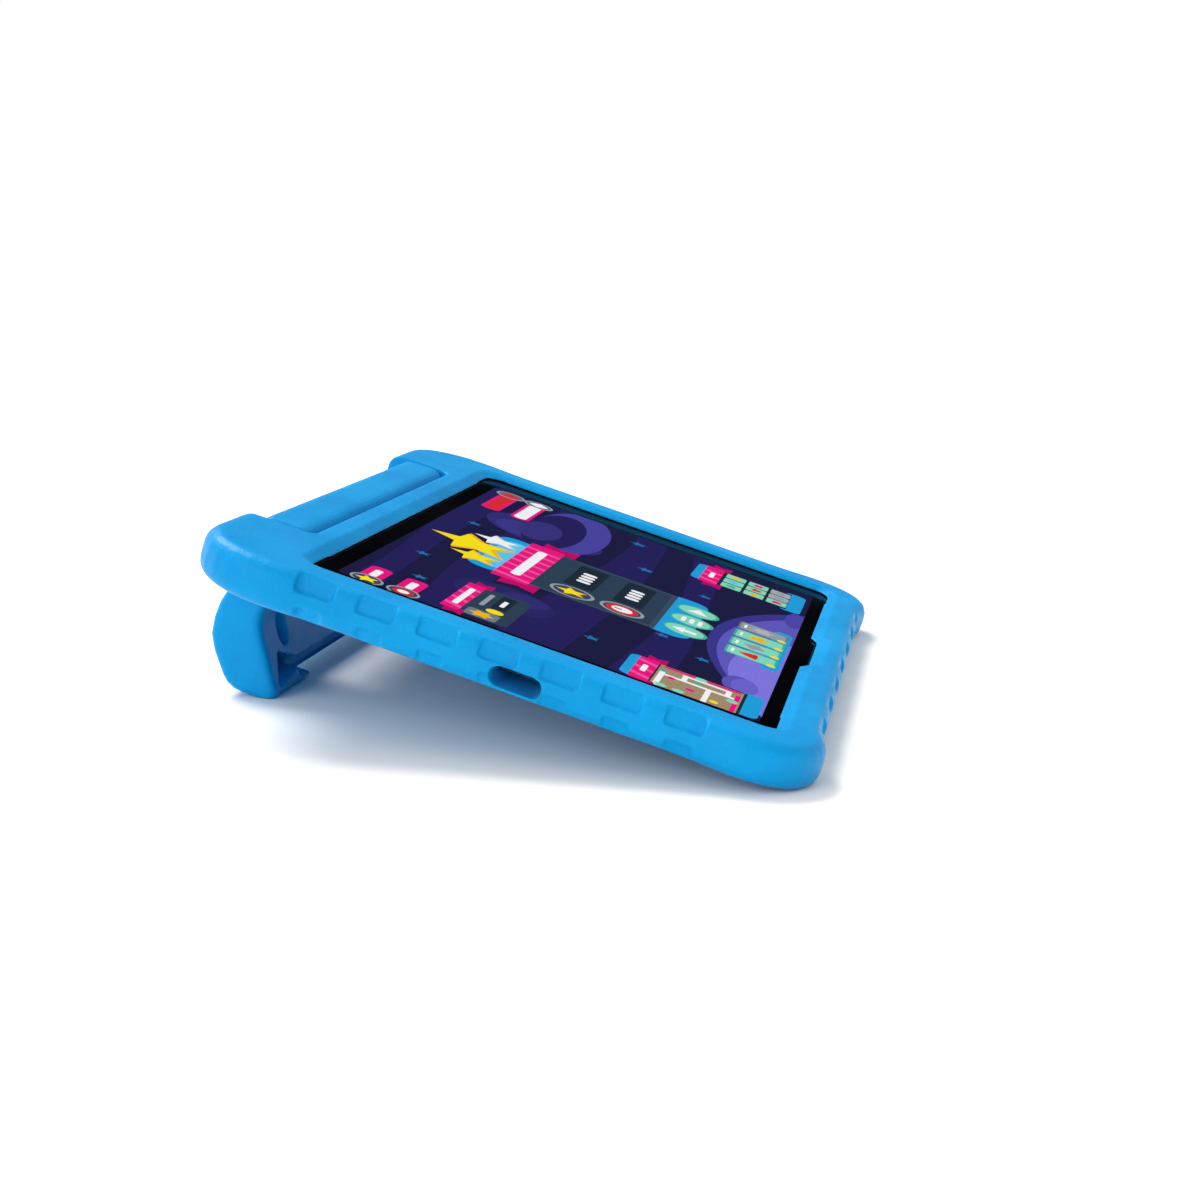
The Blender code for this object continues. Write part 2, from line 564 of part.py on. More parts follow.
def electronics(tablet):
    board_look = material("circuit_board", (0.01, 0.09, 0.05), 0.45)
    shield_look = material("shield_can", (0.7, 0.7, 0.72), 0.35, 1.0)
    black = material("moulded_black", (0.02, 0.02, 0.022), 0.4)
    cell_look = material("battery_wrap", (0.11, 0.11, 0.12), 0.55)
    film = material("amber_film", (0.45, 0.2, 0.03), 0.35)
    steel = material("port_steel", (0.65, 0.66, 0.68), 0.3, 1.0)

    cell_top = -4.9 * MM
    for side, sign in (("left", -1), ("right", 1)):
        block(f"battery_cell_{side}", (sign * 44 * MM, -14 * MM), (84 * MM, 104 * MM), CAVITY_BOTTOM, cell_top,
              tablet, cell_look, 3 * MM)
        block(f"speaker_{side}", (sign * SPEAKER_X, SPEAKER_Y), (15 * MM, 38 * MM), CAVITY_BOTTOM, CAVITY_TOP,
              tablet, black, 3 * MM)
        block(f"antenna_{side}", (sign * 72 * MM, 70 * MM), (44 * MM, 3 * MM), -4.8 * MM, CAVITY_TOP, tablet,
              film)

    board_top = -4.8 * MM
    board_bottom = board_top - 0.8 * MM
    block("main_board", (8 * MM, 56 * MM), (176 * MM, 24 * MM), board_bottom, board_top, tablet, board_look)
    for name, x, width in (("processor_shield", -28, 34), ("power_shield", 16, 28), ("wireless_shield", 62, 24)):
        block(name, (x * MM, 56 * MM), (width * MM, 20 * MM), CAVITY_BOTTOM, board_bottom - GAP, tablet,
              shield_look)
    block("card_reader", (86 * MM, 56 * MM), (13 * MM, 15 * MM), CAVITY_BOTTOM, board_bottom - GAP, tablet, steel)
    block("battery_cable", (0, 40.5 * MM), (30 * MM, 4.4 * MM), -5.6 * MM, -5.2 * MM, tablet, film)
    block("microphone", (-72 * MM, 63 * MM), (3.6 * MM, 2.8 * MM), CAVITY_BOTTOM, board_bottom - GAP, tablet,
          shield_look)
    finish(drum("vibration_motor", 5 * MM, CAVITY_BOTTOM, CAVITY_TOP, tablet, at=(-102 * MM, -19 * MM)), shield_look)

    port = block("usb_port", (-119.4 * MM, USB_Y), (7.4 * MM, 9 * MM), CAVITY_BOTTOM, CAVITY_TOP, tablet, steel,
                 1.2 * MM)
    mouth = plate("usb_socket", rectangle(8.2 * MM, 2.0 * MM, 0.95 * MM, (USB_Y, PORT_Z), 3),
                  -125 * MM, -118 * MM, tablet, cutters)
    cut(port, along_x(mouth))
    block("port_board", (-106.5 * MM, USB_Y), (16 * MM, 22 * MM), board_bottom, board_top, tablet, board_look)

    jack = box("headphone_jack", (110.6 * MM, JACK_Y - 3 * MM, CAVITY_BOTTOM),
               (122.6 * MM, JACK_Y + 3 * MM, CAVITY_TOP), tablet)
    bore = drum("jack_bore", 1.2 * MM, 112 * MM, 125 * MM, tablet, cutters, (JACK_Y, PORT_Z), "X", 16)
    cut(jack, bore)
    finish(jack, black)

    front = box("front_camera", (-2.2 * MM, -72.7 * MM, -5.2 * MM), (2.2 * MM, -70.0 * MM, -1.3 * MM), tablet)
    finish(front, black)
    rear = block("rear_camera", CAMERA_XY, (8.4 * MM, 8.4 * MM), -7.1 * MM, CAVITY_TOP, tablet, black, 1 * MM)
    finish(rear, black)
    window = drum("rear_camera_window", 4.4 * MM, -8.2 * MM, -7.5 * MM, tablet, at=CAMERA_XY)
    finish(window, material("camera_glass", (0.01, 0.01, 0.015), 0.05))

    ribbon = box("display_cable", (-14 * MM, 70.2 * MM, -5.1 * MM), (14 * MM, 70.7 * MM, -1.3 * MM), tablet)
    finish(ribbon, film)


def keys(tablet):
    """The power key slides in, the volume key rocks; each presses its own switch inside the wall."""
    look = material("key_plastic", (0.03, 0.03, 0.032), 0.4)
    switch_look = material("switch_metal", (0.6, 0.6, 0.62), 0.35, 1.0)
    outer = GLASS_SIZE[0] / 2
    inner = outer - COVER_WALL
    for name, y, length in (("power_button", POWER_Y, POWER_LENGTH), ("volume_rocker", VOLUME_Y, VOLUME_LENGTH)):
        pivot = new_empty(name + "_pivot", tablet, (inner, y, PORT_Z))
        cap = along_x(plate(name, rectangle(length, KEY_HEIGHT, 0.8 * MM, (0, 0), 3),
                            -0.9 * MM, COVER_WALL + 0.1 * MM, pivot))
        flange = box(name + "_flange", (-1.1 * MM, -length / 2 - 0.7 * MM, -KEY_HEIGHT / 2 + 0.1 * MM),
                     (-0.45 * MM, length / 2 + 0.7 * MM, KEY_HEIGHT / 2 - 0.1 * MM), pivot, cutters)
        join(cap, flange)
        finish(cap, look)
    switch_x = inner - 2.2 * MM
    for name, y in (("power_switch", POWER_Y), ("volume_up_switch", VOLUME_Y + 6 * MM),
                    ("volume_down_switch", VOLUME_Y - 6 * MM)):
        switch = box(name, (switch_x - 2 * MM, y - 2 * MM, -6.9 * MM), (switch_x, y + 2 * MM, -4.6 * MM), tablet)
        finish(switch, switch_look)


SCREW_PLACES = [(x * MM, y * MM) for x in (-116, 116) for y in (-63, -24, 65)]

clear_scene()
parts = new_collection("kids_tablet")
cutters = new_collection("cutters")
stand = new_empty("stand_frame")
tablet_frame = new_empty("tablet_frame", stand, tilt=STAND_TILT)
hinge_axis = new_empty("handle_hinge_axis", tablet_frame, (0, HINGE_Y, HINGE_Z))


def table_height():
    """Height of the table below the tilted frame's origin: it just flattens the bumper's front edge."""
    cos, sin = math.cos(STAND_TILT), math.sin(STAND_TILT)
    y, z = FRONT_Y + FOAM_EDGE, FOAM_BACK + FOAM_EDGE
    return y * sin + z * cos - FOAM_EDGE + 0.2 * MM


TABLE = table_height()
table_cutter = box("table", (-0.2, -0.2, TABLE - 0.05), (0.2, 0.2, TABLE), stand, cutters)

foam_bumper(tablet_frame)
handle(hinge_axis)
hinge_hardware(tablet_frame, hinge_axis)
tablet_shells(tablet_frame)
electronics(tablet_frame)
keys(tablet_frame)


def stand_on_origin():
    """Moves the whole object so that the middle of its footprint is at the origin."""
    depsgraph = bpy.context.evaluated_depsgraph_get()
    ys = []
    for piece in parts.objects:
        if piece.type == "MESH":
            seen = piece.evaluated_get(depsgraph)
            ys += [(seen.matrix_world @ vertex.co).y for vertex in seen.data.vertices]
    stand.location = (0, -(min(ys) + max(ys)) / 2, -TABLE)


stand_on_origin()
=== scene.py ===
"""Looks of a child's tablet in a thick moulded foam bumper, propped up by its folding handle."""

import json
import math

import bmesh
import bpy
from mathutils import Matrix, Vector, geometry


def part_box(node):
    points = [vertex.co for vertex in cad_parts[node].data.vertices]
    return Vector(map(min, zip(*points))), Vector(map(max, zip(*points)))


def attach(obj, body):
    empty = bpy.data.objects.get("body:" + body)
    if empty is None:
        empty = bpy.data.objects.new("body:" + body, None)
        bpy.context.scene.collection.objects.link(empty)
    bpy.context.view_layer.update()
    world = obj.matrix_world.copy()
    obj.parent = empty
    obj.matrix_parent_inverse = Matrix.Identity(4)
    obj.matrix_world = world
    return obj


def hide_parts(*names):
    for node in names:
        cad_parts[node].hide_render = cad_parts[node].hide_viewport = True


MM = 0.001
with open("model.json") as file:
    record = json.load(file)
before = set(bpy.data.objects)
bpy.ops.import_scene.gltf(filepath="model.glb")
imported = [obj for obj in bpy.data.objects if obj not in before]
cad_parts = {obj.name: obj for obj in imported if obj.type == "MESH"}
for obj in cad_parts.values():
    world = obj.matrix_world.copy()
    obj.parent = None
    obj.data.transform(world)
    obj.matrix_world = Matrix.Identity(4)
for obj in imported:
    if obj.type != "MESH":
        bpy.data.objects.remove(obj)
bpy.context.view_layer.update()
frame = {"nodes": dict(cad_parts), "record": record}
NODES = frame["nodes"]
SLOT_OF = {part["node"]: part["material_slot"] for part in frame["record"]["subparts"]}

# Colours are linear RGB.
FOAM_BLUE = (0.0, 0.265, 0.6)
FOAM_PALE = (0.0, 0.295, 0.64)
FOAM_DEEP = (0.0, 0.235, 0.56)
# Paler blue for convex edges: partly rubbed wear, partly a painted highlight along the crests.
FOAM_WORN_AND_HIGHLIT = (0.0, 0.34, 0.7)


# ---------------------------------------------------------------- the tablet's own axes

def tablet_axes():
    """Matrix from the flat tablet to the world: x along it, y to the handle, z up from the glass."""
    back = next(m for m in frame["record"]["mounts"] if m["name"] == "bumper_back")
    up = -Vector(back["axis"]).normalized()
    side = Vector((1, 0, 0))
    along = up.cross(side)
    points = [v.co for v in NODES["cover_glass"].data.vertices]

    def middle(axis):
        reach = [p.dot(axis) for p in points]
        return (min(reach) + max(reach)) / 2

    origin = side * middle(side) + along * middle(along) + up * max(p.dot(up) for p in points)
    turn = Matrix((side, along, up)).transposed().to_4x4()
    return Matrix.Translation(origin) @ turn


TABLET = tablet_axes()


# ---------------------------------------------------------------- node helpers

class Nodes:
    """A material's node tree, with short calls to add and link nodes."""

    def __init__(self, name):
        self.material = bpy.data.materials.new(name)
        self.material.use_nodes = True
        self.tree = self.material.node_tree
        self.tree.nodes.clear()
        self.output = self.add("ShaderNodeOutputMaterial")
        self.place = self.add("ShaderNodeTexCoord").outputs["Object"]

    def add(self, kind, **settings):
        node = self.tree.nodes.new(kind)
        for key, value in settings.items():
            setattr(node, key, value)
        return node

    def link(self, source, target):
        self.tree.links.new(source, target)

    def principled(self, **values):
        shader = self.add("ShaderNodeBsdfPrincipled")
        for key, value in values.items():
            shader.inputs[key.replace("_", " ")].default_value = value
        self.link(shader.outputs[0], self.output.inputs[0])
        return shader

    def noise(self, scale, detail=4.0, roughness=0.55, stretch=None):
        node = self.add("ShaderNodeTexNoise")
        node.inputs["Scale"].default_value = scale
        node.inputs["Detail"].default_value = detail
        node.inputs["Roughness"].default_value = roughness
        place = self.place
        if stretch:
            mapping = self.add("ShaderNodeMapping")
            mapping.inputs["Scale"].default_value = stretch
            self.link(place, mapping.inputs["Vector"])
            place = mapping.outputs[0]
        self.link(place, node.inputs["Vector"])
        return node.outputs[0]

    def cells(self, scale, feature="F1", randomness=1.0):
        node = self.add("ShaderNodeTexVoronoi", feature=feature)
        node.inputs["Scale"].default_value = scale
        node.inputs["Randomness"].default_value = randomness
        self.link(self.place, node.inputs["Vector"])
        return node.outputs["Distance"]

    def ramp(self, value, stops):
        """Colour ramp through (position, colour) stops."""
        node = self.add("ShaderNodeValToRGB")
        ramp = node.color_ramp
        while len(ramp.elements) < len(stops):
            ramp.elements.new(0.5)
        for element, (position, colour) in zip(ramp.elements, stops):
            element.position = position
            element.color = (*colour, 1.0)
        self.link(value, node.inputs[0])
        return node.outputs[0]

    def span(self, value, low, high, low_in=0.3, high_in=0.7):
        """value, from low_in..high_in, mapped to low..high and clamped."""
        node = self.add("ShaderNodeMapRange")
        for index, number in enumerate((low_in, high_in, low, high), 1):
            node.inputs[index].default_value = number
        self.link(value, node.inputs[0])
        return node.outputs[0]

    def math(self, operation, first, second):
        node = self.add("ShaderNodeMath", operation=operation)
        for index, value in enumerate((first, second)):
            if isinstance(value, (int, float)):
                node.inputs[index].default_value = value
            else:
                self.link(value, node.inputs[index])
        return node.outputs[0]

    def bump(self, height, strength, distance, shader, below=None):
        node = self.add("ShaderNodeBump")
        node.inputs["Strength"].default_value = strength
        node.inputs["Distance"].default_value = distance
        self.link(height, node.inputs["Height"])
        if below:
            self.link(below, node.inputs["Normal"])
        self.link(node.outputs[0], shader.inputs["Normal"])
        return node.outputs[0]


def foam_material():
    """Moulded EVA foam: clouded blue, semi-matte, with fine leathery grain; convex edges paler, partly rubbed
    wear and partly a painted highlight along the crests.
    """
    n = Nodes("moulded_foam")
    shader = n.principled(Specular_IOR_Level=0.1, Sheen_Weight=0.08, Sheen_Roughness=0.3,
                          Sheen_Tint=(0.8, 0.9, 1, 1))
    cloud = n.noise(28, 5)
    speckle = n.noise(1500, 2)
    # Convex edges (high pointiness) are made paler: partly rubbed wear, partly a painted highlight along the
    # crests.
    edge = n.span(n.add("ShaderNodeNewGeometry").outputs["Pointiness"], 0.0, 1.0, 0.5, 0.58)
    tone = n.math("ADD", n.math("MULTIPLY", cloud, 0.7), n.math("MULTIPLY", speckle, 0.3))
    body = n.ramp(tone, [(0.36, FOAM_DEEP), (0.5, FOAM_BLUE), (0.66, FOAM_PALE)])
    worn_and_highlit = n.add("ShaderNodeMix", data_type="RGBA")
    n.link(n.math("MULTIPLY", edge, 0.35), worn_and_highlit.inputs["Factor"])
    n.link(body, worn_and_highlit.inputs["A"])
    worn_and_highlit.inputs["B"].default_value = (*FOAM_WORN_AND_HIGHLIT, 1.0)
    n.link(worn_and_highlit.outputs["Result"], shader.inputs["Base Color"])
    n.link(n.span(n.noise(60, 3), 0.36, 0.5), shader.inputs["Roughness"])
    grain = n.math("ADD", n.cells(900, "SMOOTH_F1"), n.math("MULTIPLY", n.noise(1700, 3), 0.8))
    broad = n.bump(n.noise(75, 2), 0.12, 0.5 * MM, shader)
    n.bump(grain, 0.45, 0.2 * MM, shader, broad)
    return n.material


def glass_material():
    """The black border of the cover glass, faintly smudged."""
    n = Nodes("black_glass")
    shader = n.principled(Specular_IOR_Level=0.3, IOR=1.08)
    n.link(n.span(n.noise(35, 4), 0.05, 0.13), shader.inputs["Roughness"])
    tint = n.ramp(n.noise(12, 2), [(0.35, (0.0012, 0.0012, 0.0016)), (0.7, (0.003, 0.003, 0.004))])
    n.link(tint, shader.inputs["Base Color"])
    return n.material


def picture_material():
    """The lit picture: each face's own colour, shining through glass, with a faint grid of cells."""
    n = Nodes("lit_picture")
    shader = n.principled(Specular_IOR_Level=0.3, IOR=1.08, Emission_Strength=0.88)
    colour = n.add("ShaderNodeAttribute", attribute_name="picture").outputs["Color"]
    grid = n.span(n.cells(2400, "F1", 0.0), 1.0, 0.9, 0.0, 0.6)
    lit = n.add("ShaderNodeMix", data_type="RGBA", blend_type="MULTIPLY")
    lit.inputs["Factor"].default_value = 1.0
    n.link(colour, lit.inputs["A"])
    n.link(grid, lit.inputs["B"])
    unlit = n.add("ShaderNodeMix", data_type="RGBA", blend_type="MULTIPLY")
    unlit.inputs["Factor"].default_value = 1.0
    n.link(lit.outputs["Result"], unlit.inputs["A"])
    unlit.inputs["B"].default_value = (0.1, 0.1, 0.1, 1.0)
    n.link(unlit.outputs["Result"], shader.inputs["Base Color"])
    n.link(lit.outputs["Result"], shader.inputs["Emission Color"])
    n.link(n.span(n.noise(35, 4), 0.05, 0.13), shader.inputs["Roughness"])
    return n.material


def metal_material(name, colour, roughness, stretch):
    """Drawn or brushed metal: streaks along one axis in tone and roughness."""
    n = Nodes(name)
    shader = n.principled(Metallic=1.0)
    streak = n.noise(90, 6, 0.7, stretch)
    dark = tuple(0.82 * c for c in colour)
    light = tuple(min(1.0, 1.08 * c) for c in colour)
    n.link(n.ramp(streak, [(0.3, dark), (0.7, light)]), shader.inputs["Base Color"])
    n.link(n.span(streak, roughness - 0.08, roughness + 0.1), shader.inputs["Roughness"])
    n.bump(streak, 0.08, 0.05 * MM, shader)
    return n.material


def plastic_material(name, colour, roughness, grain=1400, spread=0.2):
    """Moulded plastic, film or lacquer: small changes of tone, a fine surface texture."""
    n = Nodes(name)
    shader = n.principled(Specular_IOR_Level=0.45)
    dark = tuple((1 - spread) * c for c in colour)
    light = tuple(min(1.0, (1 + spread) * c) for c in colour)
    n.link(n.ramp(n.noise(45, 5), [(0.35, dark), (0.65, light)]), shader.inputs["Base Color"])
    n.link(n.span(n.noise(120, 3), roughness - 0.06, roughness + 0.08), shader.inputs["Roughness"])
    n.bump(n.noise(grain, 3), 0.15, 0.08 * MM, shader)
    return n.material


def board_material():
    """Green solder mask with fine copper tracks under it."""
    n = Nodes("circuit_board")
    shader = n.principled(Specular_IOR_Level=0.5)
    tracks = n.cells(420, "DISTANCE_TO_EDGE", 0.35)
    mask = n.ramp(tracks, [(0.03, (0.03, 0.2, 0.1)), (0.09, (0.006, 0.075, 0.04))])
    n.link(mask, shader.inputs["Base Color"])
    n.link(n.span(n.noise(200, 3), 0.25, 0.42), shader.inputs["Roughness"])
    n.bump(tracks, 0.1, 0.05 * MM, shader)
    return n.material


FOAM = foam_material()
SLOT_LOOKS = {
    "foam": FOAM,
    "axle_steel": metal_material("axle_steel", (0.62, 0.63, 0.65), 0.25, (1, 12, 12)),
    "hinge_plastic": plastic_material("hinge_plastic", (0.045, 0.045, 0.05), 0.5),
    "washer_nylon": plastic_material("washer_nylon", (0.72, 0.71, 0.66), 0.45, spread=0.06),
    "screen_glass": glass_material(),
    "display": plastic_material("display_edge", (0.02, 0.02, 0.03), 0.3),
    "frame_alloy": metal_material("frame_alloy", (0.42, 0.43, 0.45), 0.4, (1, 10, 10)),
    "cover_alloy": metal_material("cover_alloy", (0.6, 0.61, 0.63), 0.38, (1, 14, 14)),
    "battery_wrap": plastic_material("battery_wrap", (0.1, 0.1, 0.11), 0.55),
    "moulded_black": plastic_material("moulded_black", (0.02, 0.02, 0.022), 0.45),
    "amber_film": plastic_material("amber_film", (0.45, 0.19, 0.03), 0.25),
    "circuit_board": board_material(),
    "shield_can": metal_material("shield_can", (0.66, 0.66, 0.68), 0.3, (3, 3, 9)),
    "port_steel": metal_material("port_steel", (0.6, 0.61, 0.63), 0.28, (12, 1, 12)),
    "camera_glass": plastic_material("camera_glass", (0.008, 0.008, 0.013), 0.1, grain=200),
    "key_plastic": plastic_material("key_plastic", (0.028, 0.028, 0.031), 0.38),
    "switch_metal": metal_material("switch_metal", (0.58, 0.58, 0.6), 0.35, (8, 8, 1)),
    "screw_steel": metal_material("screw_steel", (0.2, 0.2, 0.21), 0.35, (6, 6, 1)),
}
for node_name, node in NODES.items():
    node.data.materials.clear()
    node.data.materials.append(SLOT_LOOKS[SLOT_OF[node_name]])


# ---------------------------------------------------------------- moulded foam

# Above LIP_LOCK, or past the edge of the glass, the foam is thick enough to be smoothed.
LIP_LOCK = 1.0 * MM
# The four corners of the bumper are smoothed more; they start this far from the middle.
END_FROM, CORNER_FROM = 100 * MM, 66 * MM
GLASS_HALF = (TABLET.inverted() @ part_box("cover_glass")[1]).xy
VOXEL = 0.5 * MM
SMOOTH_ROUNDS = 3
FACES_KEPT = 0.25
PILLOW_ROUNDS = 6 * SMOOTH_ROUNDS


def evaluated_mesh(piece):
    bpy.context.view_layer.update()
    seen = piece.evaluated_get(bpy.context.evaluated_depsgraph_get())
    return bpy.data.meshes.new_from_object(seen)


def moulded(name, node, body):
    """The node's shape with its edges softened, as foam leaves a mould, except the thin lip on the glass."""
    work = bmesh.new()
    work.from_mesh(NODES[node].data)
    work.transform(TABLET.inverted())
    bmesh.ops.remove_doubles(work, verts=work.verts, dist=0.001 * MM)
    mesh = bpy.data.meshes.new(name)
    work.to_mesh(mesh)
    work.free()
    piece = bpy.data.objects.new(name, mesh)
    bpy.context.scene.collection.objects.link(piece)
    remesh = piece.modifiers.new("voxels", "REMESH")
    remesh.mode = "VOXEL"
    remesh.voxel_size = VOXEL
    piece.data = evaluated_mesh(piece)
    piece.modifiers.clear()
    thick = piece.vertex_groups.new(name="thick")
    thick.add([v.index for v in piece.data.vertices
               if v.co.z > LIP_LOCK or abs(v.co.x) > GLASS_HALF.x or abs(v.co.y) > GLASS_HALF.y],
              1.0, "REPLACE")
    soften = piece.modifiers.new("soften", "SMOOTH")
    soften.factor = 0.5
    soften.iterations = SMOOTH_ROUNDS
    soften.vertex_group = "thick"
    ends = piece.vertex_groups.new(name="ends")
    ends.add([v.index for v in piece.data.vertices
              if abs(v.co.x) > END_FROM and abs(v.co.y) > CORNER_FROM and v.co.z < LIP_LOCK], 1.0, "REPLACE")
    pillow = piece.modifiers.new("pillow", "SMOOTH")
    pillow.factor = 0.5
    pillow.iterations = PILLOW_ROUNDS
    pillow.vertex_group = "ends"
    thin = piece.modifiers.new("thin", "DECIMATE")
    thin.ratio = FACES_KEPT
    made = evaluated_mesh(piece)
    piece.modifiers.clear()
    piece.vertex_groups.clear()
    piece.data = made
    made.name = name
    made.transform(TABLET)
    made.materials.clear()
    made.materials.append(FOAM)
    made.shade_smooth()
    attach(piece, body)
    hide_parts(node)
    return piece


moulded("bumper_foam", "foam_bumper", "tablet")
moulded("handle_foam", "foam_handle", "handle")


# ---------------------------------------------------------------- picture on the screen

# Left, low, right and high edges of the picture in millimetres on the glass; colours below are 0 to 255.
PICTURE = (-112.4, -68.6, 108.4, 67.2)
PICTURE_LIFT = 0.05 * MM
NAVY, DUSK, VIOLET, LILAC = (31, 30, 68), (39, 35, 92), (74, 69, 160), (128, 120, 224)
PINK, ROSE, CYAN, SKY = (236, 26, 128), (246, 84, 160), (34, 160, 222), (92, 200, 240)
SLATE, WELL, STONE = (47, 66, 86), (32, 45, 60), (150, 160, 170)
MINT, LEAF, TAN, WHITE = (134, 218, 190), (70, 180, 150), (164, 142, 112), (245, 246, 250)
YELLOW, GOLD, RED, STAR = (252, 226, 30), (244, 184, 20), (220, 46, 52), (36, 112, 176)


class Picture:
    """Shapes laid over one another in millimetres, then cut into one flat mesh of coloured faces."""

    def __init__(self):
        self.shapes = []

    def shape(self, points, colour):
        turn = sum(a[0] * b[1] - b[0] * a[1] for a, b in zip(points, points[1:] + points[:1]))
        self.shapes.append((points if turn > 0 else points[::-1], colour))

    def oval(self, x, y, across, up, colour, sides=28):
        self.shape([(x + across * math.cos(2 * math.pi * i / sides),
                     y + up * math.sin(2 * math.pi * i / sides)) for i in range(sides)], colour)

    def disc(self, x, y, radius, colour):
        self.oval(x, y, radius, radius, colour, 20 if radius < 4 else 32)

    def bar(self, left, low, right, high, colour, corner=0.0):
        """Rectangle, with rounded corners if corner is more than nothing."""
        if corner <= 0:
            self.shape([(left, low), (right, low), (right, high), (left, high)], colour)
            return
        points = []
        for cx, cy, start in ((right - corner, high - corner, 0), (left + corner, high - corner, 90),
                              (left + corner, low + corner, 180), (right - corner, low + corner, 270)):
            for i in range(6):
                angle = math.radians(start + 18 * i)
                points.append((cx + corner * math.cos(angle), cy + corner * math.sin(angle)))
        self.shape(points, colour)

    def star(self, x, y, radius, colour, waist=0.48, tips=5, lean=0.0):
        self.shape([(x + (radius if i % 2 == 0 else waist * radius) * math.sin(math.pi * i / tips + lean),
                     y + (radius if i % 2 == 0 else waist * radius) * math.cos(math.pi * i / tips + lean))
                    for i in range(2 * tips)], colour)

    def wave(self, base, rise, length, start, depth, colour):
        """A band that swings up and down across the whole picture."""
        left, right = PICTURE[0] - 1, PICTURE[2] + 1
        steps = 30
        across = [left + (right - left) * i / steps for i in range(steps + 1)]
        top = [(x, base + rise * math.sin(x / length + start)) for x in across]
        low = [(x, base - depth + 0.6 * rise * math.sin(x / length + start + 1.1)) for x in across]
        self.shape(top[::-1] + low, colour)

    def ribbon(self, left, low, right, high, fold):
        """A pink banner with two swallow tails behind it and paler slanting stripes."""
        drop = 0.32 * (high - low)
        for edge, way in ((left, -1), (right, 1)):
            tip = edge + way * fold
            self.shape([(edge - way * fold * 0.4, low - drop), (tip, low - drop),
                        (tip - way * fold * 0.4, (low + high) / 2 - drop),
                        (tip, high - drop), (edge - way * fold * 0.4, high - drop)], (190, 16, 104))
        self.bar(left, low, right, high, PINK)
        steps = int((right - left) / 9)
        for i in range(steps):
            x = left + 3 + 9 * i
            self.shape([(x, low), (x + 2.6, low), (x + 5.2, high), (x + 2.6, high)], ROSE)

    def badge(self, x, y, radius):
        """A grey ring with a dark face, for an icon."""
        self.disc(x, y, radius, STONE)
        self.disc(x, y, 0.84 * radius, (58, 74, 94))

    def mesh(self, name, lift):
        left, low, right, high = PICTURE
        points, faces = [], []
        outline = Picture()
        outline.bar(left, low, right, high, NAVY, 3.0)
        for outline_points, _ in outline.shapes + self.shapes:
            faces.append(list(range(len(points), len(points) + len(outline_points))))
            points += [Vector(p) for p in outline_points]
        verts, _, triangles, _, _, owners = geometry.delaunay_2d_cdt(points, [], faces, 1, 1e-4, True)
        colours = [NAVY] + [colour for _, colour in self.shapes]
        kept = [(face, max(owner)) for face, owner in zip(triangles, owners) if owner and 0 in owner]
        used = sorted({index for face, _ in kept for index in face})
        renumber = {old: new for new, old in enumerate(used)}
        mesh = bpy.data.meshes.new(name)
        mesh.from_pydata([TABLET @ Vector((verts[i][0] * MM, verts[i][1] * MM, lift)) for i in used], [],
                         [[renumber[i] for i in face] for face, _ in kept])
        layer = mesh.color_attributes.new("picture", "FLOAT_COLOR", "CORNER")
        for polygon, (_, top) in zip(mesh.polygons, kept):
            linear = [((c / 255 + 0.055) / 1.055) ** 2.4 if c > 10 else c / 3294.6 for c in colours[top]]
            for corner in polygon.loop_indices:
                layer.data[corner].color = (*linear, 1.0)
        mesh.validate()
        return mesh


